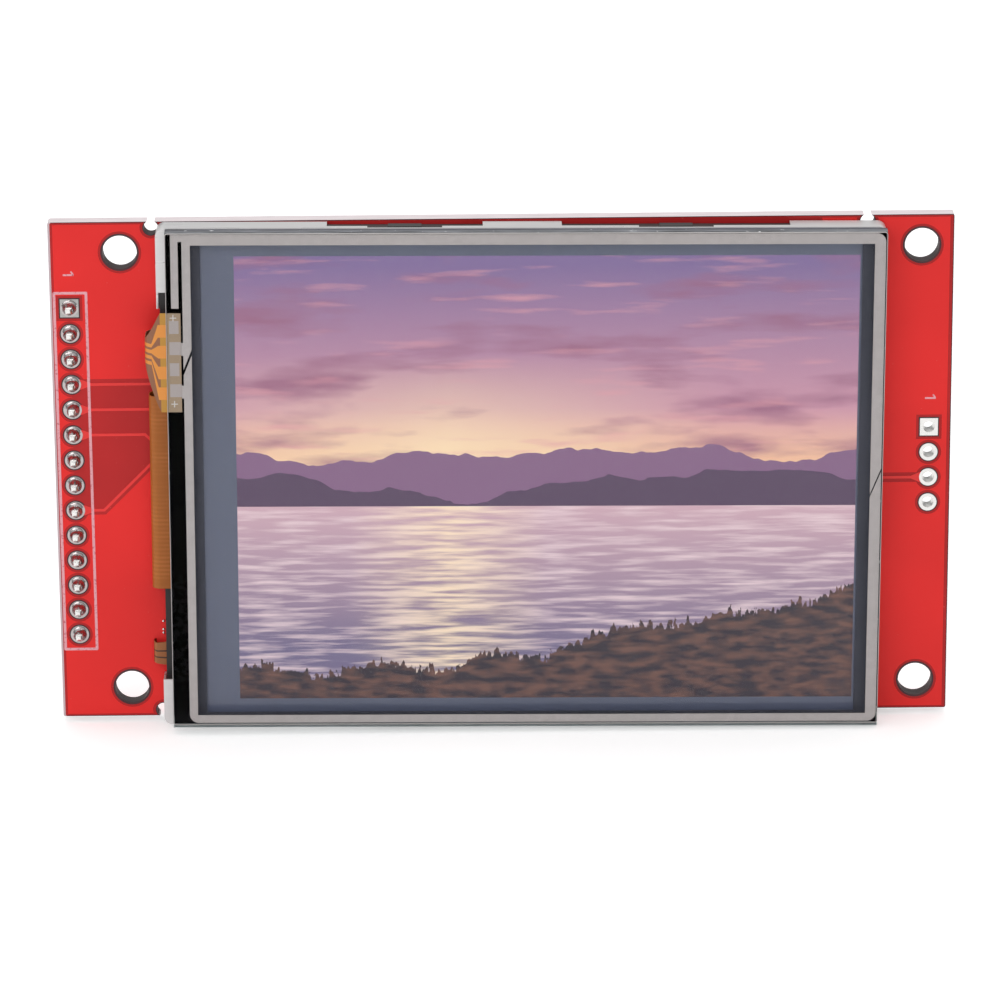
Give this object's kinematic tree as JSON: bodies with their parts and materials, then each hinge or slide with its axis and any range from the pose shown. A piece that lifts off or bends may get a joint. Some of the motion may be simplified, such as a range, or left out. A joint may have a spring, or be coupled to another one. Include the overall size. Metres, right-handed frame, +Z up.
{
  "type": "tft display module",
  "caption": "Landscape colour TFT panel with resistive touch film on a red carrier board with pin header, card header and memory-card socket.",
  "frame": {"origin": "middle of the four screw holes, on the board's back face", "axes": "+X along the board towards the card header, -Y the way the display faces, +Z up the display"},
  "size_m": [0.0863, 0.0144, 0.0505],
  "materials": {
    "board_red": "glossy solder mask on glass laminate",
    "tinned_copper": "bright tin",
    "solder": "bright solder",
    "header_plastic": "black moulding",
    "pin_metal": "tinned square wire",
    "foam_tape": "white foam",
    "frame_steel": "tinned sheet",
    "housing_black": "black moulding",
    "reflector_white": "white film",
    "guide_acrylic": "clear moulding",
    "lamp_yellow": "phosphor",
    "optical_film": "satin film",
    "black_tape": "black film tape",
    "polarizer": "smoke-blue film",
    "cell_glass": "clear",
    "seal_glue": "cured glue",
    "crystal_layer": "colour filter stripes",
    "silicon": "polished",
    "polyimide_amber": "amber film over copper",
    "polyimide_orange": "orange film over copper",
    "touch_glass": "clear",
    "silver_ink": "matt print",
    "clear_glue": "clear",
    "touch_film": "clear film",
    "socket_steel": "plated sheet",
    "socket_plastic": "black moulding",
    "contact_gold": "gold flash",
    "chip_black": "moulded epoxy",
    "lead_tin": "tinned",
    "resistor_black": "glazed",
    "capacitor_tan": "matt"
  },
  "bodies": {
    "root": {"circuit_board": "board_red", "header_eyelets": "tinned_copper", "card_header_eyelets": "tinned_copper", "header_block": "header_plastic", "header_pins": "pin_metal", "header_solder": "solder", "mounting_tapes": "foam_tape", "metal_frame": "frame_steel", "backlight_housing": "housing_black", "reflector_sheet": "reflector_white", "light_guide": "guide_acrylic", "backlight_leds": "lamp_yellow", "backlight_flex": "polyimide_amber", "diffuser_sheet": "optical_film", "lower_prism_sheet": "optical_film", "upper_prism_sheet": "optical_film", "rim_tape": "black_tape", "rear_polarizer": "polarizer", "transistor_glass": "cell_glass", "cell_seal": "seal_glue", "liquid_crystal": "crystal_layer", "color_filter_glass": "cell_glass", "front_polarizer": "polarizer", "driver_chip": "silicon", "display_flex": "polyimide_amber", "touch_tape": "black_tape", "touch_glass": "touch_glass", "touch_electrodes": "silver_ink", "touch_bond": "clear_glue", "touch_film": "touch_film", "touch_flex": "polyimide_orange", "card_socket_shell": "socket_steel", "card_socket_base": "socket_plastic", "card_contacts": "contact_gold", "touch_controller": "chip_black", "touch_controller_leads": "lead_tin", "regulator": "chip_black", "regulator_leads": "lead_tin", "backlight_transistor": "chip_black", "backlight_transistor_leads": "lead_tin", "chip_resistors": "resistor_black", "chip_capacitors": "capacitor_tan", "chip_end_caps": "lead_tin"}
  },
  "joints": []
}
